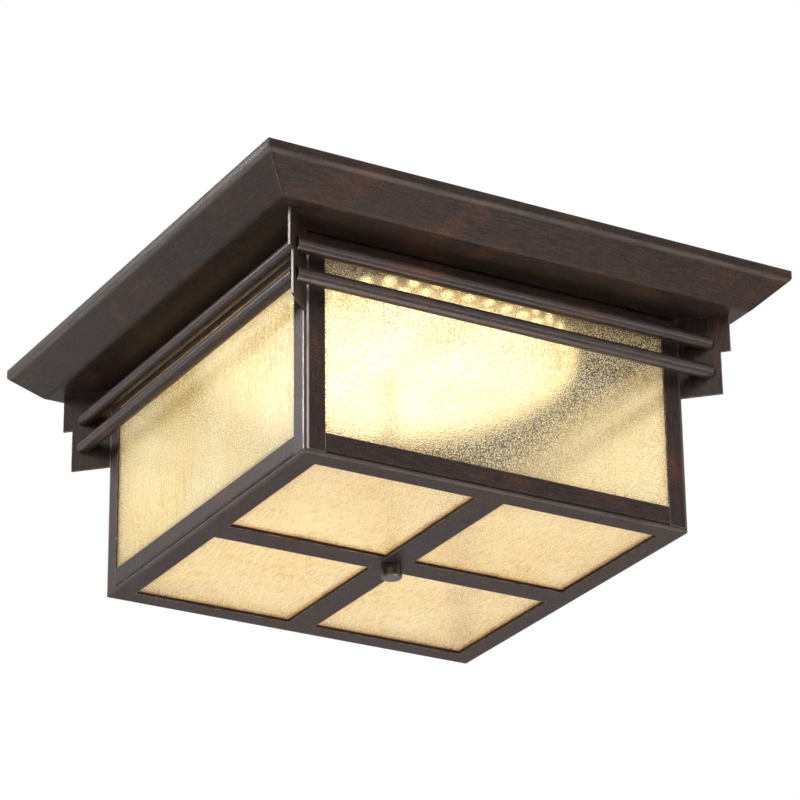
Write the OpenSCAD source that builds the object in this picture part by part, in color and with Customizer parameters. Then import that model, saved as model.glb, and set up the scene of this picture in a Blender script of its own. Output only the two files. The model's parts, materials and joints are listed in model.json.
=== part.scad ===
// Square flush-mount outdoor ceiling light with a lift-off lantern.
// The origin is the centre of the face that meets the ceiling. The light hangs from it along -Z,
// and its front is the -Y side. Lengths are in millimetres.

/* [Canopy] */
// Width of the square canopy at the ceiling
canopy_w = 381; // [368:1:430]
// Height of the canopy, from the ceiling to its flat underside
canopy_h = 25; // [24:0.5:36]
// Height of the upright lip at the ceiling
lip_h = 6; // [5.5:0.5:9]
// How far the sloping side comes in between the lip and the underside
flare_in = 20; // [14:0.5:24]
// Thickness of the canopy's steel sheet
pan_t = 1.2; // [0.8:0.1:1.6]
// Outer radius of the canopy's bends
pan_bend_r = 3.5; // [2:0.5:5]
// Width of the foam gasket inside the lip
gasket_w = 6; // [4:0.5:10]
// Thickness of the foam gasket
gasket_t = 3; // [2:0.5:3.5]

/* [Crossbar] */
// Length of the channel that screws to the outlet box
crossbar_l = 116; // [100:1:140]
// Width of the channel
crossbar_w = 22; // [18:0.5:30]
// Depth of the channel's side flanges
crossbar_h = 7; // [5:0.5:9]
// Thickness of the channel's steel
crossbar_t = 2; // [1.5:0.1:2.5]
// Distance between the centres of the two outlet box slots
slot_pitch = 79.4; // [70:0.1:84]
// Length of an outlet box slot, from end to end
slot_l = 15; // [10:0.5:18]
// Width of an outlet box slot
slot_w = 4.8; // [4:0.1:6]
// Distance of the ground screw from the centre of the channel
ground_x = 18; // [14:0.5:22]

/* [Centre rod] */
// Diameter of the threaded centre rod
rod_d = 6; // [5:0.5:8]
// Radial clearance of the nuts and the finial on the rod
thread_gap = 0.05; // [0.02:0.01:0.1]
// Radial clearance of plain holes round the rod
hole_gap = 0.4; // [0.2:0.1:0.8]
// Width of the rod's hexagon nuts across their corners
nut_d = 11.5; // [10.5:0.5:14]
// Height of the rod's hexagon nuts
nut_h = 5; // [4:0.5:6]
// Diameter of the broad washer under the canopy
washer_d = 24; // [18:1:28]
// Thickness of the broad washer
washer_t = 1.5; // [1:0.1:2]

/* [Lantern] */
// How far the lantern's faces stand back from the canopy's edges
lantern_in = 53; // [48:1:70]
// Height of the lantern, from the canopy's underside to the underside of the bottom frame
body_h = 148; // [125:1:180]
// Gap between the lantern and the canopy's underside
seat_gap = 0.3; // [0.2:0.1:0.6]
// Thickness of the lantern's steel sheet
sheet_t = 1.2; // [0.8:0.1:1.6]
// Width of each leg of a corner post
post_leg = 14; // [10:0.5:20]
// Outer radius of the posts' corners and of the rails' bends
corner_r = 2.5; // [1.7:0.1:3.5]
// Height of the top rails
top_rail_h = 16.2; // [10:0.2:22]
// Height of the bottom rails above the bottom frame
bottom_rail_h = 12.6; // [8:0.2:20]
// Width of the flanges that the rails turn inward
rail_flange = 7; // [5:0.5:8]

/* [Bottom frame] */
// Thickness of the bottom frame
frame_t = 2.4; // [2:0.1:4]
// Width of the bottom frame's border
border_w = 14.6; // [13:0.2:22]
// Width of the cross bars between the bottom panes
bar_w = 19.6; // [16:0.2:30]
// Radius of the bottom frame's outer edges
edge_r = 0.8; // [0.3:0.1:1]

/* [Corner fins] */
// Thickness of a corner fin
fin_t = 1.5; // [1:0.1:3]
// How far a fin's wide upper part stands out past each face of the lantern
fin_out = 23.2; // [22:0.2:28]
// How far the lower part steps back
fin_step = 4.6; // [2:0.2:6]
// Height of the wide upper part
fin_step_h = 26; // [20:0.5:36]
// Full height of a fin
fin_h = 55.5; // [50:0.5:70]

/* [Side rods] */
// Diameter of the round rods along the sides
rail_rod_d = 9.5; // [6:0.5:11]
// Distance of a rod's axis from the lantern's face
rail_rod_out = 12.8; // [9:0.2:14]
// Distance of the upper rods' axis below the canopy
upper_rod_drop = 19; // [12:0.5:22]
// Distance between the axes of the upper and the lower rods
rod_pitch = 20; // [14:0.5:24]
// How far the blunt tips of the rods pass the corner where their axes meet
rod_tip_out = 0.5; // [0:0.1:4]

/* [Glass] */
// Thickness of the glass
glass_t = 3; // [2:0.2:4]
// Space between the side glass and the rails' flanges
glass_inset = 3; // [2:0.5:5]
// How far the bottom panes lie over the frame
pane_lap = 4.5; // [3:0.5:5.5]
// Thickness of the spring clips that hold the glass
clip_t = 0.8; // [0.5:0.1:1]
// Length of a clip along the glass edge
clip_w = 12; // [6:1:20]
// How far a clip reaches over the glass
clip_reach = 6; // [4:0.5:9]
// Distance of the side clips from the middle of their side
clip_x = 80; // [60:1:100]
// Small gap between glass edges and their neighbours
fit_gap = 0.5; // [0.3:0.1:0.8]

/* [Light unit] */
// Space between the dimpled lens and the flanges of the top rails
lens_gap = 7.5; // [4:0.5:20]
// Depth of the lens below the canopy
lens_h = 16; // [14:0.5:22]
// Height of the lens's upright rim
lens_rim_h = 8; // [7:0.5:10]
// Outer radius of the lens's rounded edge
lens_corner_r = 5; // [3:0.5:5.5]
// Thickness of the lens
lens_t = 2; // [1.5:0.1:2.5]
// Diameter of the hole in the middle of the lens
lens_hole_d = 26; // [20:1:32]
// Thickness of the lamp base
base_t = 1.2; // [0.8:0.1:1.6]
// Space between the lamp base's rim and the lens
base_gap = 3; // [2:0.5:4]
// Space between the lamp base's rim and the circuit board
board_gap = 12; // [6:1:20]
// Thickness of the circuit board
board_t = 1.6; // [1:0.1:2]
// Width of a light-emitting chip
chip_w = 3.6; // [2.5:0.1:5]
// Height of a chip
chip_h = 0.9; // [0.6:0.1:1.4]
// Radius of the innermost ring of chips
chip_ring_r = 45; // [38:1:50]
// Distance of the outermost ring of chips from the board's edge
chip_margin = 11; // [6:1:20]

/* [Driver] */
// Length of the driver's case
driver_l = 118; // [90:1:140]
// Width of the driver's case
driver_w = 46; // [36:1:56]
// Height of the driver's case
driver_h = 18; // [14:0.5:20]
// Distance of the driver's middle from the centre of the light
driver_y = 62; // [50:1:90]
// Length of the mounting ears at the case's ends
ear_l = 14; // [12:0.5:18]
// Thickness of the mounting ears
ear_t = 2; // [1.5:0.1:3]
// Diameter of the wire glands at the case's ends
gland_d = 9; // [7:0.5:10]
// Length of a wire gland
gland_l = 10; // [7:0.5:14]
// Diameter of the hole in the canopy for the lamp's wires
wire_hole_d = 7; // [5:0.5:9]

/* [Finial] */
// Diameter of the finial
finial_d = 13.6; // [12:0.1:18]
// Height of the finial
finial_h = 8.2; // [7:0.1:14]
// Depth of the finial's threaded hole
finial_hole = 6; // [4:0.1:6.2]
// Size of the finial's chamfers
finial_chamfer = 0.9; // [0.3:0.1:1.5]
// Diameter of the finial's washer
finial_washer_d = 12; // [9:0.5:13]
// Thickness of the finial's washer
finial_washer_t = 0.8; // [0.5:0.1:1.2]

/* [Hidden] */
$fn = 48;

BRONZE = "#3b302c";
RUBBED = "#5a4136";
STEEL = "#9a9a9a";
ZINC = "#b9b6ad";
GREEN = "#2f8f4a";
GLASS = "#f2e2ae";
GLASS_ALPHA = 0.6;
RUBBER = "#2b2b2b";
WHITE = "#f4f4f0";
CHIP = "#fff3a8";
LENS = "#fff8d8";

// Quarter turns of the four sides and corners: front or front left first, then anticlockwise from above
FRONT = 0;
RIGHT = 360 / 4;
BACK = 2 * RIGHT;
LEFT = 3 * RIGHT;

BEND_STEPS = 6;
// Turns under this angle belong to a smooth curve and get no bend of their own
LEAST_BEND = 10;
FAR = 2 * canopy_w;
// Depth by which a cutting tool passes the face that it cuts
CUT = 1;

canopy_r = canopy_w / 2;
body_r = canopy_r - lantern_in;
body_w = 2 * body_r;
canopy_under = -canopy_h;
canopy_floor = canopy_under + pan_t;
body_top = canopy_under - seat_gap;
body_bottom = canopy_under - body_h;
frame_top = body_bottom + frame_t;
rod_r = rod_d / 2;
rod_hole_r = rod_r + hole_gap;
nut_hole_r = rod_r + thread_gap;
wall_in = body_r - sheet_t;
glass_in = wall_in - glass_t;
glass_half = glass_in - clip_t - fit_gap;
glass_top = body_top - sheet_t - glass_inset;
glass_bottom = frame_top + sheet_t + glass_inset;
pane_near = bar_w / 2 - pane_lap;
pane_far = body_r - border_w + pane_lap;
pane_top = frame_top + glass_t;
lens_r = body_r - rail_flange - lens_gap;
lens_top = canopy_under - seat_gap;
base_r = lens_r - lens_t - base_gap;
base_rim_bottom = canopy_under - lens_rim_h + base_gap;
wire_hole_r = wire_hole_d / 2;
grommet_r = wire_hole_r + 1.2;
grommet_y = washer_d / 2 + fit_gap + grommet_r;
base_hole_r = grommet_y + grommet_r + fit_gap;
board_r = base_r - board_gap;
board_top = canopy_under - base_t;
board_hole_r = base_hole_r + 2 * base_gap;
finial_top = body_bottom - finial_washer_t;
finial_bottom = finial_top - finial_h;
rod_end = finial_top - finial_hole + fit_gap;
ear_x = driver_l / 2 + ear_l / 2;
ear_hole_r = 2;
ear_screw_r = ear_hole_r - thread_gap;
ground_r = 2;
ground_head_r = 4;
ground_head_h = 3;
chips_in_ring = [12, 20, 28];
chip_ring_pitch = (board_r - chip_margin - chip_ring_r) / (len(chips_in_ring) - 1);
board_screw_r = chip_ring_r + chip_ring_pitch / 2;

// Unit vector from a to b
function toward(a, b) = (b - a) / norm(b - a);

// Unit normal to the left of the way from a to b
function left_of(a, b) = let (u = toward(a, b)) [-u[1], u[0]];

// The point i of a path, moved by d to the path's left
function shifted(path, i, d) =
    let (
        last = len(path) - 1,
        before = i > 0 ? left_of(path[i - 1], path[i]) : left_of(path[0], path[1]),
        after = i < last ? left_of(path[i], path[i + 1]) : before
    )
    path[i] + d * (before + after) / (1 + before * after);

// Sense of the turn at point i: 1 to the left, -1 to the right
function turn(path, i) =
    let (a = toward(path[i - 1], path[i]), b = toward(path[i], path[i + 1]))
    sign(a[0] * b[1] - a[1] * b[0]);

// Angle of the turn at point i
function bend(path, i) = acos(min(toward(path[i - 1], path[i]) * toward(path[i], path[i + 1]), 1));

// A path whose inner corners are rounded, each to its own radius in the list r
function rounded(path, r) = [
    for (i = [0 : len(path) - 1])
        if (i == 0 || i == len(path) - 1 || r[i] <= 0 || bend(path, i) < LEAST_BEND)
            path[i]
        else
            let (
                a = toward(path[i - 1], path[i]),
                way = turn(path, i),
                angle = bend(path, i),
                start = path[i] - a * r[i] * tan(angle / 2),
                centre = start + way * r[i] * [-a[1], a[0]]
            )
            for (k = [0 : BEND_STEPS])
                let (t = way * k * angle / BEND_STEPS, v = start - centre)
                centre + [v[0] * cos(t) - v[1] * sin(t), v[0] * sin(t) + v[1] * cos(t)]
];

function reversed(list) = [for (i = [len(list) - 1 : -1 : 0]) list[i]];

// Section of a sheet of the thickness t that is bent along a path. It lies to the path's left,
// or to its right if t is negative, and each bend has the outer radius r.
module bent_sheet(path, t, r) {
    n = len(path) - 1;
    other = [for (i = [0 : n]) shifted(path, i, t)];
    inner_r = max(r - abs(t), 0);
    outside = [for (i = [0 : n]) i > 0 && i < n ? turn(path, i) * t > 0 : false];
    near = rounded(path, [for (out = outside) out ? r : inner_r]);
    far = rounded(other, [for (out = outside) out ? inner_r : r]);
    polygon(concat(near, reversed(far)));
}

// A section in the Y and Z of the front side, drawn out along X over the length l
module along_x(l) {
    rotate([90, 0, 90]) linear_extrude(l, center = true) children();
}

// Everything in front of the two diagonals, moved forward by d
module front_wedge(d = 0) {
    translate([0, -d, -FAR]) linear_extrude(2 * FAR)
        polygon([[0, 0], [-FAR, -FAR], [FAR, -FAR]]);
}

// A section of the front side, carried round all four sides with mitred corners
module mitred_ring(l) {
    for (a = [FRONT, RIGHT, BACK, LEFT])
        rotate([0, 0, a])
            intersection() {
                along_x(l) children();
                front_wedge();
            }
}

// The lantern's outline with its rounded corners, between two heights
module lantern_block(z0, z1) {
    translate([0, 0, z0]) linear_extrude(z1 - z0) polygon(rounded_box(body_w, body_w, corner_r));
}

module hole(r, z0, z1) {
    translate([0, 0, z0]) cylinder(r = r, h = z1 - z0);
}

// A hexagon nut on the rod, with its upper face at z
module rod_nut(z) {
    difference() {
        translate([0, 0, z - nut_h]) cylinder(d = nut_d, h = nut_h, $fn = 6);
        hole(nut_hole_r, z - nut_h - CUT, z + CUT);
    }
}

// Canopy and mounting

module canopy_pan() {
    lip = [-canopy_r, -lip_h];
    knee = [-canopy_r + flare_in, canopy_under];
    color(BRONZE) difference() {
        union() {
            mitred_ring(canopy_w)
                bent_sheet([[-canopy_r, 0], lip, knee, knee + [2 * flare_in, 0]], pan_t, pan_bend_r);
            floor_r = canopy_r - 2 * flare_in;
            translate([-floor_r, -floor_r, canopy_under]) cube([2 * floor_r, 2 * floor_r, pan_t]);
        }
        hole(rod_hole_r, canopy_under - CUT, canopy_floor + CUT);
        translate([0, grommet_y, 0]) hole(wire_hole_r, canopy_under - CUT, canopy_floor + CUT);
        for (side = [-1, 1])
            translate([side * ear_x, driver_y, 0])
                hole(ear_hole_r, canopy_under - CUT, canopy_floor + CUT);
    }
}

module ceiling_gasket() {
    outer = canopy_r - pan_t;
    color(RUBBER) mitred_ring(2 * outer)
        translate([-outer, -gasket_t]) square([gasket_w, gasket_t]);
}

module crossbar() {
    half = crossbar_w / 2;
    color(ZINC) difference() {
        along_x(crossbar_l)
            bent_sheet([[half, -crossbar_h], [half, 0], [-half, 0], [-half, -crossbar_h]],
                crossbar_t, crossbar_t + 1);
        for (side = [-1, 1])
            for (end = [-1, 1])
                translate([side * slot_pitch / 2 + end * (slot_l - slot_w) / 2, 0, 0])
                    hole(slot_w / 2, -crossbar_t - CUT, CUT);
        for (side = [-1, 1])
            translate([side * slot_pitch / 2 - (slot_l - slot_w) / 2, -slot_w / 2, -crossbar_t - CUT])
                cube([slot_l - slot_w, slot_w, crossbar_t + 2 * CUT]);
        hole(nut_hole_r, -crossbar_t - CUT, CUT);
        translate([ground_x, 0, 0]) hole(ground_r + thread_gap, -crossbar_t - CUT, CUT);
    }
}

module crossbar_nut() {
    color(STEEL) rod_nut(-crossbar_t);
}

module ground_screw() {
    color(GREEN) translate([ground_x, 0, 0]) {
        hole(ground_r, -crossbar_t - ground_head_h, 0);
        translate([0, 0, -crossbar_t - ground_head_h])
            cylinder(r = ground_head_r, h = ground_head_h, $fn = 6);
    }
}

module centre_rod() {
    tip = rod_r / 6;
    color(STEEL) rotate_extrude()
        polygon([
            [0, 0], [rod_r - tip, 0], [rod_r, -tip],
            [rod_r, rod_end + tip], [rod_r - tip, rod_end], [0, rod_end]
        ]);
}

module canopy_washer() {
    color(ZINC) difference() {
        hole(washer_d / 2, canopy_under - washer_t, canopy_under);
        hole(rod_hole_r, canopy_under - washer_t - CUT, canopy_under + CUT);
    }
}

module canopy_nut() {
    color(STEEL) rod_nut(canopy_under - washer_t);
}

// Driver, which stands on the canopy's floor, and the way for its wires

module driver_case() {
    corner = 2;
    color(WHITE) difference() {
        union() {
            translate([0, driver_y, canopy_floor])
                linear_extrude(driver_h)
                    polygon(rounded_box(driver_l, driver_w, corner));
            translate([-driver_l / 2 - ear_l, driver_y - driver_w / 4, canopy_floor])
                cube([driver_l + 2 * ear_l, driver_w / 2, ear_t]);
        }
        for (side = [-1, 1])
            translate([side * ear_x, driver_y, 0])
                hole(ear_hole_r, canopy_floor - CUT, canopy_floor + ear_t + CUT);
    }
}

// Outline of a w by d rectangle whose corners have the radius r
function rounded_box(w, d, r) =
    let (x = w / 2, y = d / 2)
    rounded(
        [[0, -y], [x, -y], [x, y], [-x, y], [-x, -y], [0, -y]],
        [0, r, r, r, r, 0]
    );

module driver_screws() {
    head_r = 2 * ear_hole_r;
    head_h = 1.6;
    z = canopy_floor + ear_t;
    color(STEEL) for (side = [-1, 1])
        translate([side * ear_x, driver_y, 0]) {
            hole(ear_screw_r, canopy_under, z);
            hole(head_r, z, z + head_h);
        }
}

// Glands for the driver's leads, one at each end of its case
module driver_glands() {
    r = gland_d / 2;
    shoulder_r = 0.8 * r;
    tip_r = 0.55 * r;
    lead_r = 0.35 * r;
    flange_l = gland_l / 4;
    z = canopy_floor + driver_h - r - flange_l;
    color(RUBBER) for (side = [-1, 1])
        translate([side * driver_l / 2, driver_y, z]) rotate([0, side * 90, 0]) rotate_extrude()
            polygon([
                [0, 0], [r, 0], [r, flange_l], [shoulder_r, flange_l], [tip_r, gland_l],
                [lead_r, gland_l], [lead_r, flange_l], [0, flange_l]
            ]);
}

// Rubber grommet in the canopy's floor, through which the lamp's wires go down
module wire_grommet() {
    lip_t = 1.2;
    neck_r = wire_hole_r - thread_gap;
    color(RUBBER) translate([0, grommet_y, 0]) difference() {
        union() {
            hole(grommet_r, canopy_floor, canopy_floor + lip_t);
            hole(neck_r, canopy_under - lip_t / 2, canopy_floor + lip_t);
            hole(grommet_r, canopy_under - lip_t, canopy_under);
        }
        hole(neck_r - lip_t, canopy_under - lip_t - CUT, canopy_floor + lip_t + CUT);
    }
}

// Light unit, under the canopy

module lamp_base() {
    color(WHITE) rotate_extrude()
        bent_sheet([[base_r, base_rim_bottom], [base_r, canopy_under], [base_hole_r, canopy_under]],
            base_t, base_t);
}

module lamp_board() {
    color(WHITE) difference() {
        hole(board_r, board_top - board_t, board_top);
        hole(board_hole_r, board_top - board_t - CUT, board_top + CUT);
    }
}

module lamp_chips() {
    color(CHIP) for (ring = [0 : len(chips_in_ring) - 1])
        for (i = [0 : chips_in_ring[ring] - 1])
            rotate([0, 0, (i + 0.5) * 360 / chips_in_ring[ring]])
                translate([chip_ring_r + ring * chip_ring_pitch, 0, board_top - board_t - chip_h / 2])
                    cube([chip_w, chip_w, chip_h], center = true);
}

module board_screws() {
    head_r = 3;
    head_h = 1.8;
    color(STEEL) for (a = [45 : 90 : 315])
        rotate([0, 0, a]) translate([board_screw_r, 0, 0])
            hole(head_r, board_top - board_t - head_h, board_top - board_t);
}

// Height of the lens's crowned outer face at the radius x, seen from the top of its rim
function crown(x) = -lens_rim_h - (lens_h - lens_rim_h) * (1 - pow(x / lens_r, 2));

module lens() {
    steps = 10;
    inner_r = lens_hole_d / 2;
    face = [for (k = [0 : steps]) let (x = inner_r + (lens_r - inner_r) * k / steps) [x, crown(x)]];
    color(LENS) translate([0, 0, lens_top]) rotate_extrude()
        bent_sheet(concat(face, [[lens_r, 0]]), lens_t, lens_corner_r);
}

// Spring clips that hold the lens on the lamp base's rim
module lens_clips() {
    inner = base_r + fit_gap / 2;
    outer = lens_r - lens_t - fit_gap;
    top = canopy_under - fit_gap;
    color(ZINC) for (a = [45 : 90 : 315])
        rotate([0, 0, a]) along_x(clip_w)
            bent_sheet(
                [
                    [-inner, base_rim_bottom], [-inner, top],
                    [-outer, top], [-outer, base_rim_bottom + fit_gap]
                ],
                clip_t, clip_t
            );
}

module lens_collar() {
    inner_r = lens_hole_d / 2;
    neck_r = inner_r - fit_gap / 2;
    z = lens_top + crown(inner_r);
    flange_r = inner_r + 2 * lens_t;
    color(LENS) difference() {
        union() {
            hole(flange_r, z - lens_t, z - fit_gap / 2);
            hole(neck_r, z - fit_gap, z + lens_t);
        }
        hole(rod_hole_r, z - lens_t - CUT, z + lens_t + CUT);
    }
}

// Lantern frame

module corner_post(a) {
    height = body_top - top_rail_h - frame_top;
    color(BRONZE) rotate([0, 0, a]) translate([0, 0, frame_top]) linear_extrude(height)
        bent_sheet([[-body_r, -body_r + post_leg], [-body_r, -body_r], [-body_r + post_leg, -body_r]],
            sheet_t, corner_r);
}

// An angle section of the length l, with its flange at the height z and its leg going to z_leg
module rail(l, z, z_leg) {
    side = z > z_leg ? sheet_t : -sheet_t;
    along_x(l)
        bent_sheet([[-body_r + rail_flange, z], [-body_r, z], [-body_r, z_leg]], side, corner_r);
}

// The top rails stand on the posts and meet in mitred corners
module top_rail(a) {
    color(BRONZE) rotate([0, 0, a]) intersection() {
        rail(body_w, body_top, body_top - top_rail_h);
        front_wedge();
        lantern_block(body_top - top_rail_h - CUT, body_top + CUT);
    }
}

// The bottom rails stand between the posts
module bottom_rail(a) {
    color(BRONZE) rotate([0, 0, a])
        rail(body_w - 2 * post_leg, frame_top, frame_top + bottom_rail_h);
}

module corner_fin(a) {
    wide = (body_r + fin_out) * sqrt(2);
    narrow = (body_r + fin_out - fin_step) * sqrt(2);
    inner = (body_r - corner_r) * sqrt(2);
    color(RUBBED) rotate([0, 0, a]) difference() {
        rotate([0, 0, 45]) rotate([90, 0, 0]) linear_extrude(fin_t, center = true)
            polygon([
                [-inner, body_top], [-wide, body_top], [-wide, canopy_under - fin_step_h],
                [-narrow, canopy_under - fin_step_h], [-narrow, canopy_under - fin_h],
                [-inner, canopy_under - fin_h]
            ]);
        lantern_block(canopy_under - fin_h - CUT, canopy_under);
    }
}

// A round rod along the front side, cut to meet the fins at both ends
module side_rod(a, drop) {
    y = body_r + rail_rod_out;
    color(RUBBED) rotate([0, 0, a]) intersection() {
        translate([0, -y, canopy_under - drop]) rotate([0, 90, 0])
            cylinder(d = rail_rod_d, h = 2 * (y + rod_tip_out), center = true);
        front_wedge(fin_t / sqrt(2));
    }
}

module upper_rod(a) {
    side_rod(a, upper_rod_drop);
}

module lower_rod(a) {
    side_rod(a, upper_rod_drop + rod_pitch);
}

module side_glass(a) {
    color(GLASS, GLASS_ALPHA) rotate([0, 0, a])
        translate([-glass_half, -wall_in, glass_bottom])
            cube([2 * glass_half, glass_t, glass_top - glass_bottom]);
}

// A clip over the glass edge at the height z, whose leg lies on the glass as far as z_leg
module glass_clip(z, z_leg, side) {
    along_x(clip_w)
        bent_sheet([[-glass_in, z_leg], [-glass_in, z], [-wall_in, z]], side, clip_t);
}

module glass_clips() {
    color(ZINC) for (a = [FRONT, RIGHT, BACK, LEFT])
        rotate([0, 0, a]) for (side = [-1, 1])
            translate([side * clip_x, 0, 0]) {
                glass_clip(glass_top, glass_top - clip_reach, -clip_t);
                glass_clip(glass_bottom, glass_bottom + clip_reach, clip_t);
            }
}

// Bottom frame and its panes

module bottom_frame() {
    color(BRONZE) difference() {
        union() {
            intersection() {
                mitred_ring(body_w) translate([-body_r, body_bottom])
                    polygon(rounded(
                        [[border_w, 0], [0, 0], [0, frame_t], [border_w, frame_t]],
                        [0, edge_r, edge_r, 0]
                    ));
                lantern_block(body_bottom - CUT, frame_top + CUT);
            }
            for (a = [FRONT, RIGHT])
                rotate([0, 0, a]) translate([-body_r + border_w / 2, -bar_w / 2, body_bottom])
                    cube([body_w - border_w, bar_w, frame_t]);
        }
        hole(rod_hole_r, body_bottom - CUT, frame_top + CUT);
    }
}

module bottom_pane(a) {
    size = pane_far - pane_near;
    color(GLASS, GLASS_ALPHA) rotate([0, 0, a])
        translate([-pane_far, -pane_far, frame_top]) cube([size, size, glass_t]);
}

module pane_clips() {
    slit = pane_near - fit_gap;
    post = pane_far + fit_gap;
    wing = pane_near + clip_reach;
    color(ZINC) for (a = [FRONT, RIGHT, BACK, LEFT])
        rotate([0, 0, a]) {
            // Hat-shaped clip on a cross bar, over the edges of two panes
            translate([body_r / 2, 0, 0]) along_x(clip_w)
                bent_sheet([
                    [wing, pane_top], [slit, pane_top], [slit, frame_top],
                    [-slit, frame_top], [-slit, pane_top], [-wing, pane_top]
                ], -clip_t, clip_t);
            // Stepped clips from the bottom rail's flange over the outer edge of a pane
            for (side = [-1, 1])
                translate([side * clip_x, 0, 0]) along_x(clip_w)
                    bent_sheet([
                        [-body_r + sheet_t + corner_r, frame_top + sheet_t], [-post, frame_top + sheet_t],
                        [-post, pane_top], [-post + fit_gap + clip_reach, pane_top]
                    ], clip_t, clip_t);
        }
}

// Finial

module finial_washer() {
    color(RUBBER) difference() {
        hole(finial_washer_d / 2, finial_top, body_bottom);
        hole(rod_hole_r, finial_top - CUT, body_bottom + CUT);
    }
}

module finial() {
    r = finial_d / 2;
    c = finial_chamfer;
    color(BRONZE) rotate_extrude()
        polygon([
            [nut_hole_r, finial_top], [r - c / 2, finial_top], [r, finial_top - c / 2],
            [r, finial_bottom + c], [r - c, finial_bottom], [0, finial_bottom],
            [0, finial_top - finial_hole], [nut_hole_r, finial_top - finial_hole]
        ]);
}

canopy_pan();
ceiling_gasket();
crossbar();
crossbar_nut();
ground_screw();
centre_rod();
canopy_washer();
canopy_nut();
driver_case();
driver_screws();
driver_glands();
wire_grommet();
lamp_base();
lamp_board();
lamp_chips();
board_screws();
lens();
lens_clips();
lens_collar();
corner_post(FRONT);  // post_front_left
corner_post(RIGHT);  // post_front_right
corner_post(BACK);  // post_back_right
corner_post(LEFT);  // post_back_left
top_rail(FRONT);  // top_rail_front
top_rail(RIGHT);  // top_rail_right
top_rail(BACK);  // top_rail_back
top_rail(LEFT);  // top_rail_left
bottom_rail(FRONT);  // bottom_rail_front
bottom_rail(RIGHT);  // bottom_rail_right
bottom_rail(BACK);  // bottom_rail_back
bottom_rail(LEFT);  // bottom_rail_left
corner_fin(FRONT);  // fin_front_left
corner_fin(RIGHT);  // fin_front_right
corner_fin(BACK);  // fin_back_right
corner_fin(LEFT);  // fin_back_left
upper_rod(FRONT);  // upper_rod_front
upper_rod(RIGHT);  // upper_rod_right
upper_rod(BACK);  // upper_rod_back
upper_rod(LEFT);  // upper_rod_left
lower_rod(FRONT);  // lower_rod_front
lower_rod(RIGHT);  // lower_rod_right
lower_rod(BACK);  // lower_rod_back
lower_rod(LEFT);  // lower_rod_left
side_glass(FRONT);  // glass_front
side_glass(RIGHT);  // glass_right
side_glass(BACK);  // glass_back
side_glass(LEFT);  // glass_left
glass_clips();
bottom_frame();
bottom_pane(FRONT);  // pane_front_left
bottom_pane(RIGHT);  // pane_front_right
bottom_pane(BACK);  // pane_back_right
bottom_pane(LEFT);  // pane_back_left
pane_clips();
finial_washer();
finial();
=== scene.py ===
import json
import math

import bmesh
import bpy
from mathutils import Matrix, Vector


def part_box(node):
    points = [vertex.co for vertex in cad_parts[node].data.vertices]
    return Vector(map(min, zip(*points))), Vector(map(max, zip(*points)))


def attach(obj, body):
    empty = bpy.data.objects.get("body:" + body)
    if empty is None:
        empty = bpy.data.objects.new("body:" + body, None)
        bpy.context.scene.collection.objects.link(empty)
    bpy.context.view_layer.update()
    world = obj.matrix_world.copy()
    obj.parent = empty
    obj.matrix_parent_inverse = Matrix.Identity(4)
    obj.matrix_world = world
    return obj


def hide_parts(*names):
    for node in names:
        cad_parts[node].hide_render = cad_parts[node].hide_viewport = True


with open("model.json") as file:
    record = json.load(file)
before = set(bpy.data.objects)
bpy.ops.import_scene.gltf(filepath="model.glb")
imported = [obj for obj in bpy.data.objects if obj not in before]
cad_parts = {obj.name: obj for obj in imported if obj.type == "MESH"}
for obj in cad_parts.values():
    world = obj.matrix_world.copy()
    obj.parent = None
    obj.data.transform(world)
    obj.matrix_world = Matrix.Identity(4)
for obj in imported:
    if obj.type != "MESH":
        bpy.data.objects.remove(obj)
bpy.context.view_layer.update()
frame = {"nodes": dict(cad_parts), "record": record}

NODES = frame["nodes"]
BODY_OF = {
    node: body
    for body, nodes in frame["record"]["behaviour"]["bodies"].items()
    for node in nodes
}
SIDES = ("front", "right", "back", "left")
CORNERS = ("front_left", "front_right", "back_right", "back_left")
WHITE = (1, 1, 1, 1)


def add_object(name, data):
    """Puts an object that shows the data in the scene."""
    obj = bpy.data.objects.new(name, data)
    bpy.context.scene.collection.objects.link(obj)
    return obj


# Camera, from the fit to the photograph

CAMERA_AT = (-1.0645, -1.8539, -1.0122)
CAMERA_YAW = math.radians(-30.046)
CAMERA_PITCH = math.radians(24.089)
CAMERA_ROLL = math.radians(-0.732)
CAMERA_LENS = 160.57
CAMERA_SENSOR = 36
CAMERA_CLIP = (0.05, 50)


def make_camera():
    cos_a, sin_a = math.cos(CAMERA_YAW), math.sin(CAMERA_YAW)
    cos_e, sin_e = math.cos(CAMERA_PITCH), math.sin(CAMERA_PITCH)
    right = Vector((cos_a, sin_a, 0))
    ahead = Vector((-sin_a * cos_e, cos_a * cos_e, sin_e))
    up = right.cross(ahead)
    cos_r, sin_r = math.cos(CAMERA_ROLL), math.sin(CAMERA_ROLL)
    x = right * cos_r + up * sin_r
    y = up * cos_r - right * sin_r
    data = bpy.data.cameras.new("camera")
    data.sensor_width = CAMERA_SENSOR
    data.lens = CAMERA_LENS
    data.clip_start, data.clip_end = CAMERA_CLIP
    camera = add_object("camera", data)
    turn = Matrix((x, y, -ahead)).transposed().to_4x4()
    camera.matrix_world = Matrix.Translation(CAMERA_AT) @ turn
    bpy.context.scene.camera = camera


make_camera()


# Node helpers

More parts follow.
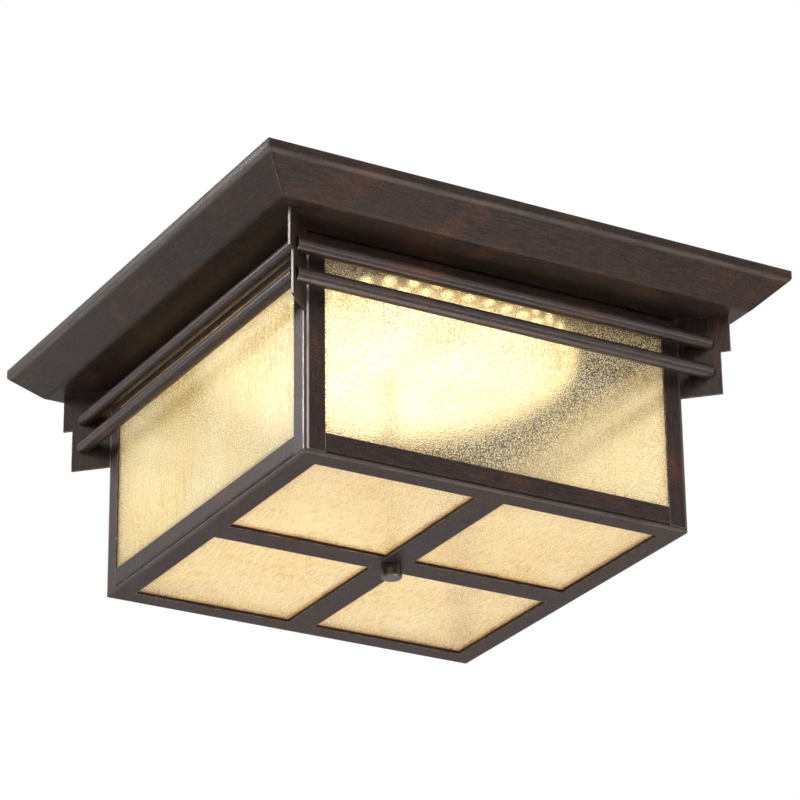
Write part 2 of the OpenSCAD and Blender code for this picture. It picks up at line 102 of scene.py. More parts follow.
class Tree:
    """The nodes of a material or world, made in the order that they feed each other.
    A value is a number, a colour, a vector, a socket, or a node for its first output."""

    MIX_INPUT = {"VECTOR": 4, "RGBA": 6}
    MIX_OUTPUT = {"VECTOR": 1, "RGBA": 2}

    def __init__(self, owner, output="OutputMaterial"):
        owner.use_nodes = True
        self.owner = owner
        self.nodes = owner.node_tree.nodes
        self.links = owner.node_tree.links
        self.nodes.clear()
        self.out = self.node(output)

    def node(self, kind, settings=None, **inputs):
        """A node; an underscore in the name of an input stands for a space."""
        n = self.nodes.new("ShaderNode" + kind)
        for key, value in (settings or {}).items():
            setattr(n, key, value)
        for key, value in inputs.items():
            self.put(n.inputs[key.replace("_", " ")], value)
        return n

    def put(self, socket, value):
        if isinstance(value, bpy.types.NodeSocket):
            self.links.new(value, socket)
        elif isinstance(value, bpy.types.Node):
            self.links.new(value.outputs[0], socket)
        else:
            socket.default_value = value

    def fill(self, n, *values, first=0):
        """Feeds the values to a node's inputs, in their order."""
        for i, value in enumerate(values, first):
            self.put(n.inputs[i], value)
        return n

    def math(self, op, *values, clamp=False):
        n = self.node("Math", {"operation": op, "use_clamp": clamp})
        return self.fill(n, *values).outputs[0]

    def chain(self, op, first, *others):
        """Joins any number of values with one operation, from the left."""
        for value in others:
            first = self.math(op, first, value)
        return first

    def plus(self, *values):
        return self.chain("ADD", *values)

    def times(self, *values):
        return self.chain("MULTIPLY", *values)

    def most(self, *values):
        return self.chain("MAXIMUM", *values)

    def size(self, value):
        return self.math("ABSOLUTE", value)

    def length(self, a, b):
        return self.math("SQRT", self.plus(self.times(a, a), self.times(b, b)))

    def vector(self, op, *values):
        n = self.fill(self.node("VectorMath", {"operation": op}), *values)
        return n.outputs["Value" if op == "DOT_PRODUCT" else "Vector"]

    def mix(self, fac, a, b, kind="RGBA"):
        n = self.node("Mix", {"data_type": kind})
        self.put(n.inputs["Factor"], fac)
        return self.fill(n, a, b, first=self.MIX_INPUT[kind]).outputs[self.MIX_OUTPUT[kind]]

    def blend(self, fac, a, b):
        """A mix of two shaders."""
        return self.fill(self.node("MixShader"), fac, a, b)

    def span(self, value, a, b, c=0.0, d=1.0):
        """Maps the range a to b onto c to d, clamped."""
        n = self.node("MapRange", {"clamp": True})
        return self.fill(n, value, a, b, c, d).outputs[0]

    def place(self, scale=(1, 1, 1)):
        """Object coordinates, scaled."""
        at = self.node("TexCoord").outputs["Object"]
        return self.node("Mapping", Vector=at, Scale=scale).outputs[0]

    def parts(self, vector):
        return self.node("SeparateXYZ", Vector=vector).outputs

    def noise(self, at, scale, detail, rough=0.5, distortion=0.0):
        n = self.node("TexNoise", Vector=at, Scale=scale, Detail=detail, Roughness=rough,
                      Distortion=distortion)
        return n.outputs["Fac"]

    def bump(self, height, distance, strength, normal=None):
        n = self.node("Bump", Height=height, Distance=distance, Strength=strength)
        if normal is not None:
            self.put(n.inputs["Normal"], normal)
        return n.outputs[0]

    def seen(self):
        """1 for what the camera, a reflection or a view through glass shows, 0 for the light
        on the object."""
        path = self.node("LightPath")
        return self.most(*(path.outputs[f"Is {ray} Ray"]
                           for ray in ("Camera", "Glossy", "Transmission")))

    def surface(self, shader):
        self.put(self.out.inputs["Surface"], shader)
        return self.owner


def material(name):
    return Tree(bpy.data.materials.new(name))


def rgb(r, g, b):
    """A colour of the screen, 0 to 255, as Blender's linear one."""
    def lin(v):
        v /= 255
        return v / 12.92 if v <= 0.04045 else ((v + 0.055) / 1.055) ** 2.4
    return (lin(r), lin(g), lin(b), 1.0)


def darker(colour, share):
    return tuple(c * share for c in colour[:3]) + (1,)


# Bronze. Lengths are in metres, and a noise scale is about its number of grains a metre

STREAK = 0.14  # scale of the strokes in their own direction, against 1 across it
STROKE_SCALE, BROAD_SCALE = 700, 230
CLOUD_SCALE, FOG_SCALE, SPECK_SCALE = 21, 7, 900
PAINT_DARK = rgb(26, 21, 20)
PAINT_LIGHT = rgb(68, 56, 51)
PAINT_BROWN = rgb(60, 43, 37)
PAINT_PIT = rgb(22, 18, 18)
RUBBED = rgb(112, 68, 46)
# metal colour at scuffed edges, also the colour of the painted highlights
SCUFF_AND_HIGHLIGHT_COLOUR = rgb(158, 149, 143)
PAINT_TINT = rgb(255, 238, 234)
PAINT_RELIEF = 0.00012

EDGE = 0.0008
WORN_SCALE = 160
# The painted highlight line along a post's corner, as distances out: it starts, is full, is still
# full, ends
POST_HIGHLIGHT_LINE = (0.1343, 0.1350, 0.1358, 0.1364)
# strength of the painted highlight on the fins' outer edges
RIM_HIGHLIGHT = 0.75


def stroke_place(t, along):
    """Coordinates drawn out along X, Y or Z, or for R along each side of a ring."""
    if along != "R":
        return t.place(tuple(STREAK if axis == along else 1.0 for axis in "XYZ"))
    at = t.parts(t.place())
    flank = t.math("GREATER_THAN", t.size(at[0]), t.size(at[1]))
    return t.mix(flank, t.place((STREAK, 1, 1)), t.place((1, STREAK, 1)), "VECTOR")


def scuffed_and_highlit_edges(t, raw, normal):
    """Scuffed edges, where a rounded normal leaves the true one, in uneven patches; their light
    metal colour also stands in for painted edge highlights.
    """
    keen = t.node("Bevel", {"samples": 4}, Radius=EDGE)
    edge = t.span(t.vector("DOT_PRODUCT", keen, normal), 0.98, 0.86)
    return t.times(edge, t.span(t.noise(raw, WORN_SCALE, 3, 0.7), 0.3, 0.6))


def painted_corner_highlight(t, raw, broad):
    """A painted highlight line down the corner of each post, fainter on the posts of the right
    side.
    """
    start, full, still, end = POST_HIGHLIGHT_LINE
    at = t.parts(raw)
    far = t.math("MINIMUM", t.size(at[0]), t.size(at[1]))
    line = t.times(t.span(far, start, full), t.span(far, end, still))
    return t.times(line, t.span(at[0], -0.01, 0.01, 1.0, 0.25), t.span(broad, 0.3, 0.5, 0.55, 1.0))


def painted_rim_highlight(t, raw, normal):
    """A painted highlight on thin faces that look straight out from the light's middle, the fins'
    outer edges.
    """
    ray = t.vector("NORMALIZE", t.vector("MULTIPLY", raw, (1, 1, 0)))
    return t.span(t.vector("DOT_PRODUCT", ray, normal), 0.8, 0.95, 0, RIM_HIGHLIGHT)


def painted_fold_highlight(t, raw, broad, reach, height, width, highlight_share):
    """A painted highlight along a square ring's fold at a distance out and a height, its width,
    and its strength.
    """
    at = t.parts(raw)
    out = t.most(t.size(at[0]), t.size(at[1]))
    off = t.length(t.math("SUBTRACT", out, reach), t.math("SUBTRACT", at[2], height))
    return t.times(t.span(off, 0.3 * width, width, highlight_share, 0), t.span(broad, 0.3, 0.55, 0.5, 1.0))


def bronze(name, along, rub, lustre, soft=0.0011, scuff_and_highlight_share=0.6, rough=0.24, corner=False, rim=False,
           fold_highlight=None):
    """Dark bronze paint with brush strokes along one axis, rubbed brown patches, scuffed edges and
    painted highlights. rub is how brown the patches are, lustre the specular level, soft the
    radius of the edges in the shading, and the share after soft how strongly the scuffed edges and
    painted highlights show. corner asks for a painted highlight line down each post's corner, rim
    for a painted highlight on the fins' outer edges, and the last argument for a painted highlight
    along a fold, as the last four arguments of the fold's highlight function."""
    t = material(name)
    raw = t.place()
    strokes_at = stroke_place(t, along)
    strokes = t.noise(strokes_at, STROKE_SCALE, 4, 0.7)
    broad = t.noise(strokes_at, BROAD_SCALE, 3, 0.6)
    cloud = t.noise(raw, CLOUD_SCALE, 3, 0.6, 0.3)
    fog = t.noise(raw, FOG_SCALE, 2)
    speck = t.noise(raw, SPECK_SCALE, 2, 0.8)

    base = t.mix(t.span(strokes, 0.32, 0.68), PAINT_DARK, PAINT_LIGHT)
    base = t.mix(t.span(fog, 0.4, 0.62, 0, 0.5), base, PAINT_BROWN)
    patch = t.times(t.span(cloud, 0.52, 0.7), t.span(broad, 0.34, 0.6), rub)
    base = t.mix(patch, base, RUBBED)
    base = t.mix(t.span(speck, 0.46, 0.64, 0, 0.7), base, PAINT_PIT)

    normal = t.node("NewGeometry").outputs["Normal"]
    scuffs_and_highlights = [scuffed_and_highlit_edges(t, raw, normal)]
    # a painted highlight line down each post's corner
    if corner:
        scuffs_and_highlights.append(painted_corner_highlight(t, raw, broad))
    # a painted highlight on the fins' outer edges
    if rim:
        scuffs_and_highlights.append(painted_rim_highlight(t, raw, normal))
    # a painted highlight along a fold
    if fold_highlight:
        scuffs_and_highlights.append(painted_fold_highlight(t, raw, broad, *fold_highlight))
    scuffs_and_highlights = t.times(t.most(*scuffs_and_highlights), scuff_and_highlight_share)
    # scuffed edges and painted highlights, in a light metal colour
    base = t.mix(scuffs_and_highlights, base, SCUFF_AND_HIGHLIGHT_COLOUR)

    matt = t.plus(t.span(strokes, 0.25, 0.75, rough, rough + 0.12),
                  t.span(cloud, 0.3, 0.7, 0.0, 0.08), t.span(speck, 0.35, 0.65, 0.0, 0.12))
    height = t.plus(t.times(strokes, 0.6), t.times(speck, 0.7))
    rounded = t.node("Bevel", {"samples": 6}, Radius=soft)
    return t.surface(t.node(
        "BsdfPrincipled", Base_Color=base, Metallic=t.times(scuffs_and_highlights, 0.85), Roughness=matt, IOR=1.5,
        Specular_IOR_Level=lustre, Specular_Tint=PAINT_TINT,
        Normal=t.bump(height, PAINT_RELIEF, 0.7, rounded)))


# Plain metal, paint and rubber

TARNISH = rgb(110, 100, 84)
RUBBER_BLACK = rgb(34, 33, 32)
RUBBER_DUST = rgb(62, 60, 57)
FOAM_GREY = rgb(58, 57, 55)


def zinc(name, colour, rough):
    """Bare or plated metal with fine drawn lines, cloudy patches and a little tarnish."""
    t = material(name)
    raw = t.place()
    cloud = t.noise(raw, 60, 4, 0.6)
    fine = t.noise(t.place((0.08, 1, 1)), 1400, 3, 0.6)
    base = t.mix(t.span(cloud, 0.3, 0.7), colour, darker(colour, 0.72))
    base = t.mix(t.span(t.noise(raw, 400, 2, 0.6), 0.62, 0.8, 0, 0.5), base, TARNISH)
    return t.surface(t.node(
        "BsdfPrincipled", Base_Color=base, Metallic=1.0,
        Roughness=t.span(fine, 0.3, 0.7, rough, rough + 0.16),
        Normal=t.bump(fine, 0.00004, 0.5)))


def painted(name, colour, rough, grain=500, glow=0.0):
    """Smooth paint or moulded plastic, with a fine orange peel and a little dust."""
    t = material(name)
    raw = t.place()
    dust = t.noise(raw, 45, 5, 0.65)
    peel = t.noise(raw, grain, 2)
    shader = t.node(
        "BsdfPrincipled",
        Base_Color=t.mix(t.span(dust, 0.42, 0.75, 0, 0.3), colour, darker(colour, 0.62)),
        Roughness=t.span(dust, 0.3, 0.7, rough, rough + 0.15),
        Normal=t.bump(peel, 0.00008, 0.4))
    if glow:
        t.put(shader.inputs["Emission Color"], colour)
        t.put(shader.inputs["Emission Strength"], glow)
    return t.surface(shader)


def rubber(name, colour, grain):
    """Matt rubber or foam with pores and a little dust."""
    t = material(name)
    raw = t.place()
    pores = t.noise(raw, grain, 3, 0.7)
    dust = t.span(t.noise(raw, 70, 4, 0.6), 0.4, 0.75, 0, 0.4)
    return t.surface(t.node(
        "BsdfPrincipled", Base_Color=t.mix(dust, colour, RUBBER_DUST),
        Roughness=t.span(pores, 0.3, 0.7, 0.62, 0.85), Normal=t.bump(pores, 0.00025, 0.7)))


# Seeded glass. For each direction that a pane can face: a plane between its two faces, the
# scales of its grain and of the strokes of its rolling, and the edges of the windows that show
# it, as distances along the other two axes

FACE = {"X": 0.1350, "Y": 0.1350, "Z": 0.1692}
FLAT = {"X": (0, 1, 1), "Y": (1, 0, 1), "Z": (1, 1, 0)}
FLOW = {"X": (0, 1, 0.04), "Y": (1, 0, 0.04), "Z": (1, 0.1, 0)}
WINDOW = {
    "X": (("Y", 0.1235), ("Z", 0.0415), ("Z", 0.1580)),
    "Y": (("X", 0.1235), ("Z", 0.0415), ("Z", 0.1580)),
    "Z": (("X", 0.0098), ("X", 0.1229), ("Y", 0.0098), ("Y", 0.1229)),
}
STAIN = 0.0045  # width of the amber stain along the window's edges
SLANT = 0.13  # how much more frosted the glass is where it is seen aslant
GRAIN_SCALE, LUMP_SCALE, FLOW_SCALE, TONE_SCALE = 1000, 260, 850, 17
SEED_SCALE = 250.0
SEED_CHANCE = 0.86  # the cells above it have a seed
GLASS_RELIEF = 0.0004
# strength of a painted glow in the frosted grains
MILK_PAINTED_GLOW = 0.27
MILK_THROUGH = 0.6
CLEAR_ROUGH = (0.04, 0.09)  # of the inner and the outer face
CLEAR_TINT = rgb(255, 243, 214)
SHADOW_TINT = rgb(244, 236, 214)
PALE = rgb(255, 248, 220)
GOLD = rgb(254, 238, 194)
SAND = rgb(214, 182, 120)
SEED = rgb(120, 104, 52)
AMBER = rgb(168, 112, 34)


def glass_seeds(t, on):
    """Small bubbles in a few of the cells of a pattern."""
    cells = t.node("TexVoronoi", {"feature": "F1"}, Vector=on, Scale=SEED_SCALE, Randomness=1.0)
    near = t.span(cells.outputs["Distance"], 0.05, 0.12, 1, 0)
    chance = t.node("SeparateColor", Color=cells.outputs["Color"]).outputs[0]
    return t.times(near, t.math("GREATER_THAN", chance, SEED_CHANCE))


def window_edges(t, reach, facing):
    """Bands along the edges of the window that shows the pane."""
    return t.most(*(t.span(t.size(t.math("SUBTRACT", reach[axis], edge)), 0.0, STAIN, 1, 0)
                    for axis, edge in WINDOW[facing]))


def seeded_glass(name, facing, pale, gold, flow, stain):
    """Amber seeded glass. Its rolled outer face has clear grains, which bend what is behind, and
    frosted ones, which catch the lamp's light and also glow with a painted glow. Light on its way
    to a lamp passes, tinted. flow is the share of the rolling's strokes, stain that of the amber
    edges."""
    t = material(name)
    raw = t.place()
    on = t.place(FLAT[facing])
    grain = t.noise(on, GRAIN_SCALE, 1, 0.6)
    lumps = t.noise(on, LUMP_SCALE, 2, 0.6)
    strokes = t.noise(t.place(FLOW[facing]), FLOW_SCALE, 3, 0.6)
    cloud = t.noise(on, TONE_SCALE, 3, 0.55)
    seed = glass_seeds(t, on)
    reach = {axis: t.size(part) for axis, part in zip("XYZ", t.parts(raw))}
    outer = t.math("GREATER_THAN", reach[facing], FACE[facing])

    slant = t.node("LayerWeight", Blend=0.5).outputs["Facing"]
    level = t.plus(
        grain, t.math("MULTIPLY_ADD", lumps, 0.3, -0.15),
        t.math("MULTIPLY_ADD", strokes, flow, -flow / 2), t.span(slant, 0.2, 0.62, 0, SLANT))
    frost = t.math("ADD", t.span(level, 0.5, 0.57, 0.05, 0.95), t.times(seed, 0.3), clamp=True)

    amber = t.times(window_edges(t, reach, facing), t.span(grain, 0.42, 0.56), stain)
    sandy = t.times(t.span(grain, 0.51, 0.4), t.span(cloud, 0.4, 0.6, 0.3, 0.75))
    tone = t.mix(t.span(cloud, 0.35, 0.65), pale, gold)
    tone = t.mix(t.times(t.span(strokes, 0.5, 0.64), flow), tone, darker(gold, 0.62))
    tone = t.mix(sandy, tone, SAND)
    tone = t.mix(t.times(seed, 0.8), tone, SEED)
    tone = t.mix(amber, tone, AMBER)
    height = t.plus(t.times(grain, 0.6), t.times(lumps, 0.3))
    normal = t.bump(height, GLASS_RELIEF, t.times(outer, 0.6))

    # the frost's emission is a painted glow
    body = t.node(
        "BsdfPrincipled", Base_Color=tone, Roughness=0.3, IOR=1.5, Normal=normal,
        Emission_Color=tone, Emission_Strength=MILK_PAINTED_GLOW)
    through = t.node("BsdfTranslucent", Color=tone, Normal=normal)
    milk = t.blend(MILK_THROUGH, body, through)
    clear = t.node(
        "BsdfPrincipled", Base_Color=t.mix(amber, CLEAR_TINT, AMBER), IOR=1.45,
        Roughness=t.span(outer, 0, 1, *CLEAR_ROUGH), Transmission_Weight=1.0, Normal=normal)
    glass = t.blend(t.times(frost, outer), clear, milk)
    passed = t.node("BsdfTransparent", Color=SHADOW_TINT)
    return t.surface(t.blend(t.node("LightPath").outputs["Is Shadow Ray"], glass, passed))


# Lens plastic, lit by an engine that ends short of the lens's rim

LAMP = (1.0, 0.96, 0.8, 1)
LAMP_RIM = (1.0, 0.86, 0.56, 1)
LENS_PALE = rgb(214, 208, 192)
LENS_CREAM = rgb(202, 194, 172)
ENGINE_R = 0.1
RIM_R = 0.114


def lens_plastic(name, strength, rim_strength):
    """Milky plastic that glows, with one strength over the light engine and another at the rim."""
    t = material(name)
    raw = t.place()
    cloud = t.noise(raw, 60, 2)
    at = t.parts(raw)
    r = t.length(at[0], at[1])
    glow = t.times(t.span(r, ENGINE_R, RIM_R, strength, rim_strength),
                   t.span(cloud, 0.3, 0.7, 0.92, 1.0))
    return t.surface(t.node(
        "BsdfPrincipled", Base_Color=t.mix(t.span(cloud, 0.3, 0.7), LENS_PALE, LENS_CREAM),
        Roughness=0.25, Emission_Color=t.mix(t.span(r, ENGINE_R, RIM_R), LAMP, LAMP_RIM),
        Emission_Strength=glow))


MATERIALS = {
    # the canopy, with a painted highlight along the lip's fold
    "ring": bronze("bronze_ring", "R", 0.52, 0.2, soft=0.0035, scuff_and_highlight_share=0.8,
                   fold_highlight=(0.1905, -0.0078, 0.0027, 0.45)),
    "x": bronze("bronze_x", "X", 0.5, 0.22),
    "y": bronze("bronze_y", "Y", 0.5, 0.22),
    # the posts, with a painted highlight line down each corner
    "z": bronze("bronze_z", "Z", 0.65, 0.22, scuff_and_highlight_share=1.0, rough=0.2, corner=True),
    "rub_x": bronze("rubbed_x", "X", 0.65, 0.5, soft=0.0004, scuff_and_highlight_share=1.0, rough=0.2),
    "rub_y": bronze("rubbed_y", "Y", 0.7, 0.25, soft=0.0004, scuff_and_highlight_share=1.0, rough=0.2),
    # the fins, with a painted highlight on their outer edges
    "rub_z": bronze("rubbed_z", "Z", 1.0, 0.28, soft=0.0007, scuff_and_highlight_share=1.0, rim=True),
    # the bottom frame, with a painted highlight along its outer fold
    "frame": bronze("bronze_frame", "R", 0.2, 0.1, scuff_and_highlight_share=0.8,
                    fold_highlight=(0.1375, -0.1722, 0.0024, 0.3)),
    "knob": bronze("bronze_knob", "Z", 0.3, 0.8, soft=0.0008, scuff_and_highlight_share=0.8, rough=0.16),
    "zinc": zinc("zinc_plate", rgb(196, 192, 180), 0.32),
    "steel": zinc("plain_steel", rgb(170, 168, 164), 0.28),
    "green": painted("green_paint", rgb(42, 128, 66), 0.35),
    "white": painted("white_enamel", rgb(236, 235, 228), 0.3),
    "case": painted("white_case", rgb(222, 222, 216), 0.45, 1400),
    "board": painted("white_board", rgb(238, 238, 230), 0.35, 800),
    "chip": painted("chip_phosphor", rgb(250, 216, 96), 0.3, 900, 0.6),
    "lens": lens_plastic("lens_sheet", 0.98, 0.2),
    "dome": lens_plastic("lens_domes", 1.2, 2.2),
    # the collar has a painted glow as bright as the lens sheet, in place of the shade it would sit
    # in
    "collar": painted("collar_plastic_painted_glow", rgb(252, 244, 222), 0.35, 900, 1.0),
    "rubber": rubber("black_rubber", RUBBER_BLACK, 900),
    "foam": rubber("grey_foam", FOAM_GREY, 420),
    "glass_x": seeded_glass("seeded_glass_x", "X", rgb(255, 247, 213), rgb(253, 236, 186),
                            0.42, 0.9),
    "glass_y": seeded_glass("seeded_glass_y", "Y", PALE, GOLD, 0.12, 0.5),
    "glass_z": seeded_glass("seeded_glass_z", "Z", rgb(253, 238, 204), rgb(246, 224, 178),
                            0.6, 1.0),
}


# Materials for the CAD nodes

FINISH = {
    "ring": ("canopy_pan",),
    "foam": ("ceiling_gasket",),
    "zinc": ("crossbar", "canopy_washer", "lens_clips", "glass_clips", "pane_clips"),
    "steel": ("crossbar_nut", "canopy_nut", "driver_screws", "board_screws", "centre_rod"),
    "green": ("ground_screw",),
    "case": ("driver_case",),
    "rubber": ("driver_glands", "wire_grommet", "finial_washer"),
    "white": ("lamp_base",),
    "board": ("lamp_board",),
    "chip": ("lamp_chips",),
    "lens": ("lens",),
    "collar": ("lens_collar",),
    "knob": ("finial",),
    "frame": ("bottom_frame",),
}


def dress(node, key):
    materials = NODES[node].data.materials
    materials.clear()
    materials.append(MATERIALS[key])


for key, nodes in FINISH.items():
    for node in nodes:
        dress(node, key)
for corner in CORNERS:
    dress(f"post_{corner}", "z")
    dress(f"fin_{corner}", "rub_z")
    dress(f"pane_{corner}", "glass_z")
for side in SIDES:
    along, across = ("x", "y") if side in ("front", "back") else ("y", "x")
    dress(f"top_rail_{side}", along)
    dress(f"bottom_rail_{side}", along)
    dress(f"upper_rod_{side}", f"rub_{along}")
    dress(f"lower_rod_{side}", f"rub_{along}")
    dress(f"glass_{side}", f"glass_{across}")


# Pieces built in mesh code

def new_piece(name, bm, keys, node, smooth=True):
    """Turns a bmesh into a piece that stands for a CAD node and rides on the node's body."""
    bmesh.ops.recalc_face_normals(bm, faces=bm.faces)
    mesh = bpy.data.meshes.new(name)
    bm.to_mesh(mesh)
    bm.free()
    for key in keys:
        mesh.materials.append(MATERIALS[key])
    for p in mesh.polygons:
        p.use_smooth = smooth
    piece = add_object(name, mesh)
    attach(piece, BODY_OF[node])
    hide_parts(node)


def circle(bm, centre, u, v, r, steps):
    """The points of a circle in the plane of u and v, from u towards v."""
    turns = (2 * math.pi * k / steps for k in range(steps))
    return [bm.verts.new(centre + (u * math.cos(a) + v * math.sin(a)) * r) for a in turns]


def band(bm, below, above):
    """The faces between two closed rows of points."""
    faces = []
    for k in range(len(below)):
        m = (k + 1) % len(below)
        faces.append(bm.faces.new((below[k], below[m], above[m], above[k])))
    return faces


X_AXIS, Y_AXIS, Z_AXIS = Vector((1, 0, 0)), Vector((0, 1, 0)), Vector((0, 0, 1))

LENS_TOP = -0.0253
LENS_R = 0.123
LENS_RIM = 0.008  # depth of the upright rim
LENS_CROWN = 0.008  # how far the lower face bulges below it
LENS_SHEET = 0.002  # thickness
LENS_HOLE_R = 0.013
LENS_BEND = 0.005  # radius between the rim and the face
LENS_STEPS = 96
FACE_STEPS, BEND_STEPS = 12, 6

DOME_R = 0.0036
DOME_H = 0.0009
DOME_STEPS = 12
DOME_FOOT = -0.0004
# Height and radius of each row of a dome, as shares of DOME_H and DOME_R
DOME_ROWS = ((0.0, 1.0), (0.45, 0.86), (0.8, 0.55))
# Number and first angle in degrees of the domes on the upright rim
DOME_WALL = (51, 0.36)
DOME_WALL_Z = -0.03
# Radius, number and first angle in degrees of each ring of domes on the lower face
DOME_RINGS = (
    (0.1170, 51, 4.44), (0.1050, 46, 1.0), (0.0930, 40, 4.0), (0.0810, 35, 0.0), (0.0690, 30, 3.0),
    (0.0570, 25, 8.0), (0.0450, 19, 2.0), (0.0330, 14, 5.0), (0.0220, 9, 0.0),
)


def lens_surface(r):
    """Height and outward normal (radial, up) of the lens's lower face at a radius."""
    z = LENS_TOP - LENS_RIM - LENS_CROWN * (1 - (r / LENS_R) ** 2)
    slope = 2 * LENS_CROWN * r / LENS_R ** 2
    n = Vector((slope, -1)).normalized()
    bend = r - (LENS_R - LENS_BEND)
    if bend > 0:
        turn = math.asin(min(bend / LENS_BEND, 1))
        z = lens_surface(LENS_R - LENS_BEND)[0] + LENS_BEND * (1 - math.cos(turn))
        n = Vector((math.sin(turn), -math.cos(turn)))
    return z, n


def lens_profile():
    """The closed outline of the lens's sheet as (radius, height), out along its lower face and
    back along its upper one."""
    flat_r = LENS_R - LENS_BEND
    radii = [LENS_HOLE_R + (flat_r - LENS_HOLE_R) * k / FACE_STEPS for k in range(FACE_STEPS + 1)]
    for k in range(1, BEND_STEPS + 1):
        radii.append(flat_r + LENS_BEND * math.sin(math.pi / 2 * k / BEND_STEPS))
    outer = [(r, lens_surface(r)[0]) for r in radii]
    outer.append((LENS_R, LENS_TOP))
    inner = []
    for i, (r, z) in enumerate(outer):
        a = Vector(outer[max(i - 1, 0)])
        b = Vector(outer[min(i + 1, len(outer) - 1)])
        along = (b - a).normalized()
        inner.append((r - along.y * LENS_SHEET, z + along.x * LENS_SHEET))
    inner[-1] = (LENS_R - LENS_SHEET, LENS_TOP)
    return outer + inner[::-1]


def add_dome(bm, turn, ring_r, z, n):
    """A shallow closed cap on the lens's lower face, its foot a little inside the sheet."""
    radial = Vector((math.cos(turn), math.sin(turn), 0))
    out = radial * n.x + Z_AXIS * n.y
    side = Vector((-math.sin(turn), math.cos(turn), 0))
    other = out.cross(side)
    centre = radial * ring_r + Z_AXIS * z
    rows = [circle(bm, centre + out * DOME_FOOT, side, other, DOME_R, DOME_STEPS)]
    for high, wide in DOME_ROWS:
        at = centre + out * (high * DOME_H)
        rows.append(circle(bm, at, side, other, DOME_R * wide, DOME_STEPS))
    top = bm.verts.new(centre + out * DOME_H)
    faces = [bm.faces.new(rows[0][::-1])]
    for below, above in zip(rows, rows[1:]):
        faces += band(bm, below, above)
    last = rows[-1]
    for k in range(DOME_STEPS):
        faces.append(bm.faces.new((last[k], last[(k + 1) % DOME_STEPS], top)))
    for face in faces:
        face.material_index = 1


def dimpled_lens():
    """The lens with its raised dots: a revolved sheet, and rings of domes."""
    bm = bmesh.new()
    profile = lens_profile()
    rows = []
    for i in range(LENS_STEPS):
        a = 2 * math.pi * i / LENS_STEPS
        rows.append([bm.verts.new((r * math.cos(a), r * math.sin(a), z)) for r, z in profile])
    for here, there in zip(rows, rows[1:] + rows[:1]):
        for j in range(len(profile)):
            k = (j + 1) % len(profile)
            bm.faces.new((here[j], there[j], there[k], here[k]))

    wall_count, wall_first = DOME_WALL
    rings = [(r, count, first, *lens_surface(r)) for r, count, first in DOME_RINGS]
    rings.append((LENS_R, wall_count, wall_first, DOME_WALL_Z, Vector((1, 0))))
    for ring_r, count, first, z, n in rings:
        for i in range(count):
            add_dome(bm, math.radians(first) + 2 * math.pi * i / count, ring_r, z, n)
    new_piece("dimpled_lens", bm, ("lens", "dome"), "lens")


ROD_R = 0.003
ROD_CORE = 0.00247
ROD_CHAMFER = 0.0004
ROD_STEPS = 24
PITCH = 0.001
THREAD_END = 0.6  # turns of bare core at each end
# The thread's section: distance along the rod in turns, and whether it is on the crest
THREAD = ((-0.46, False), (-0.07, True), (0.07, True), (0.46, False))
THREAD_FOOT = 0.0001  # how deep the thread's foot lies in the core
THREAD_START = 0.0002  # how deep its crest lies in the core where it starts


def threaded_rod():
    """The centre rod with its screw thread, wound round a core that has chamfered ends."""
    low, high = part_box("centre_rod")
    bottom, top = low[2], high[2]
    bm = bmesh.new()
    rings = []
    for r, z in ((ROD_CORE - ROD_CHAMFER, bottom), (ROD_CORE, bottom + ROD_CHAMFER),
                 (ROD_CORE, top - ROD_CHAMFER), (ROD_CORE - ROD_CHAMFER, top)):
        rings.append(circle(bm, Z_AXIS * z, X_AXIS, Y_AXIS, r, ROD_STEPS))
    for below, above in zip(rings, rings[1:]):
        band(bm, below, above)
    bm.faces.new(rings[0][::-1])
    bm.faces.new(rings[-1])

    start, end = bottom + THREAD_END * PITCH, top - THREAD_END * PITCH
    count = int((end - start) / PITCH * ROD_STEPS)
    rows = []
    for i in range(count + 1):
        a = 2 * math.pi * i / ROD_STEPS
        z = start + PITCH * i / ROD_STEPS
        rise = min(i, count - i, ROD_STEPS) / ROD_STEPS
        crest = ROD_CORE - THREAD_START + (ROD_R - ROD_CORE + THREAD_START) * rise
        row = []
        for step, on_crest in THREAD:
            r = crest if on_crest else ROD_CORE - THREAD_FOOT
            row.append(bm.verts.new((r * math.cos(a), r * math.sin(a), z + step * PITCH)))
        rows.append(row)
    for here, there in zip(rows, rows[1:]):
        for j in range(3):
            bm.faces.new((here[j], there[j], there[j + 1], here[j + 1]))
        bm.faces.new((here[3], there[3], there[0], here[0]))
    bm.faces.new(rows[0][::-1])
    bm.faces.new(rows[-1])
    new_piece("threaded_rod", bm, ("steel",), "centre_rod", False)


dimpled_lens()
threaded_rod()


# Stage: world, floor and lights

SKY = 0.4
FLOOR_LIFT = 0.5
FLOOR_SIZE = 40.0
FLOOR_Z = -3.0
FLOOR_PAINT = rgb(240, 240, 238)


def make_world():
    """Plain white where it is seen, and a softer sky for the light on the object."""
    world = bpy.data.worlds.new("studio")
    bpy.context.scene.world = world
    t = Tree(world, "OutputWorld")
    sky = t.node("Background", Color=WHITE, Strength=SKY)
    plain = t.node("Background", Color=WHITE, Strength=1.0)
    t.surface(t.blend(t.seen(), sky, plain))


def make_floor():
    """A pale floor that is lifted towards white where it is seen."""
    mesh = bpy.data.meshes.new("floor")
    corners = [(x * FLOOR_SIZE, y * FLOOR_SIZE, FLOOR_Z)
               for x, y in ((-1, -1), (1, -1), (1, 1), (-1, 1))]
    mesh.from_pydata(corners, [], [(0, 1, 2, 3)])
    t = material("floor_paint")
    paint = t.node("BsdfDiffuse", Color=FLOOR_PAINT)
    lift = t.node("Emission", Color=WHITE, Strength=t.times(t.seen(), FLOOR_LIFT))
    mesh.materials.append(t.surface(t.fill(t.node("AddShader"), paint, lift)))
    floor = add_object("floor", mesh)


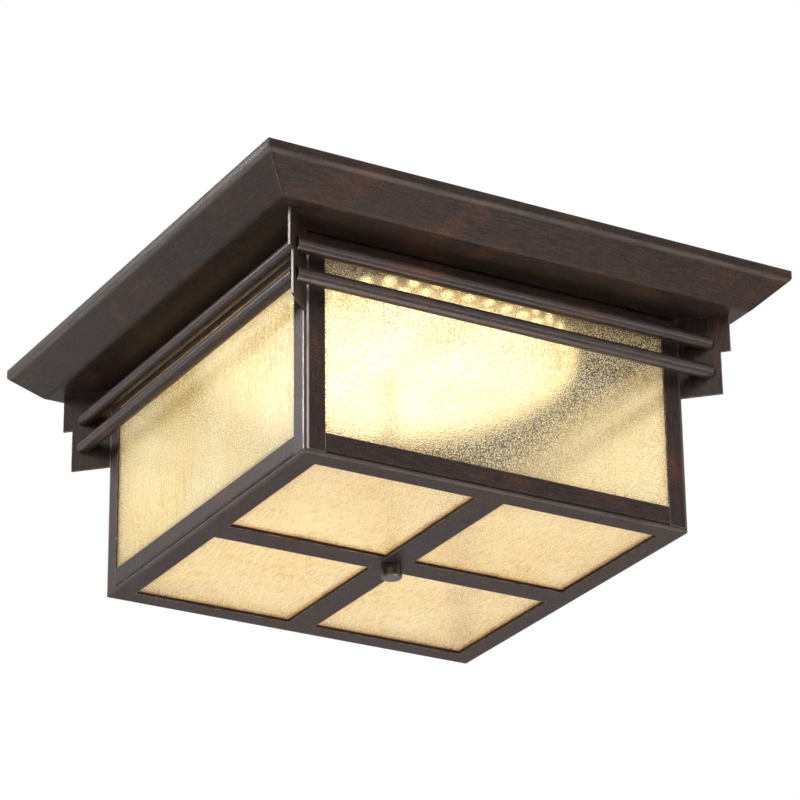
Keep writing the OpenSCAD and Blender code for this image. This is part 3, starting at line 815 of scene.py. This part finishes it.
# Name, place, aim, size, power in watts and colour of each lamp
PLAIN = (1, 1, 1)
WARM = (1, 0.9, 0.84)
CENTRE = (0, 0, -0.09)
LAMPS = (
    ("box_back_left", (-1.39, 2.06, -0.45), CENTRE, (1.4, 0.25), 5.5, PLAIN),
    ("box_front_right", (1.17, -2.2, -0.26), CENTRE, (1.2, 0.2), 8, PLAIN),
    ("box_front", (-0.39, -2.23, 0.97), CENTRE, (0.3, 0.8), 6, PLAIN),
    ("box_post", (-0.833, 0.70, 0.42), (-0.1375, -0.1375, -0.09), (0.12, 0.35), 3.2, PLAIN),
    ("box_corner", (-0.94, -0.61, 0.35), (-0.16, -0.16, -0.04), (0.2, 0.3), 3, PLAIN),
    ("box_below", (0.3, -0.28, -1.0), (0, -0.17, 0), (0.6, 0.45), 4.5, WARM),
    ("box_edge", (0.54, -0.65, -1.11), (0, -0.1375, -0.17), (0.3, 0.1), 0.8, PLAIN),
    ("box_ridge", (-0.37, -0.04, -0.985), (-0.18, -0.18, -0.015), (0.16, 0.16), 1.2, PLAIN),
)
# The light unit's own light, which the lens's glow alone would leave too weak on the panes
GLOW = (1, 0.98, 0.88)
GLOWS = (
    ("glow_down", (0, 0, -0.0425), (0, 0, -1), (0.2, 0.2), 0.26, GLOW),
    ("glow_front", (0, -0.01, -0.075), (0, -1, -0.075), (0.2, 0.06), 0.1, GLOW),
    ("glow_right", (0.01, 0, -0.075), (1, 0, -0.075), (0.2, 0.06), 0.12, GLOW),
    ("glow_back", (0, 0.01, -0.075), (0, 1, -0.075), (0.2, 0.06), 0.1, GLOW),
    ("glow_left", (-0.01, 0, -0.075), (-1, 0, -0.075), (0.2, 0.06), 0.12, GLOW),
)


def area(name, at, towards, size, power, colour):
    """A rectangular lamp that the camera doesn't see."""
    data = bpy.data.lights.new(name, "AREA")
    data.shape = "RECTANGLE"
    data.size, data.size_y = size
    data.energy = power
    data.color = colour
    lamp = add_object(name, data)
    lamp.location = at
    aim = Vector(towards) - Vector(at)
    lamp.rotation_euler = aim.to_track_quat("-Z", "Y").to_euler()
    lamp.visible_camera = False
    return lamp


make_world()
make_floor()
for row in LAMPS:
    area(*row)
for row in GLOWS:
    lamp = area(*row)
    lamp.visible_glossy = lamp.visible_transmission = False


bpy.context.scene.view_settings.view_transform = "Standard"
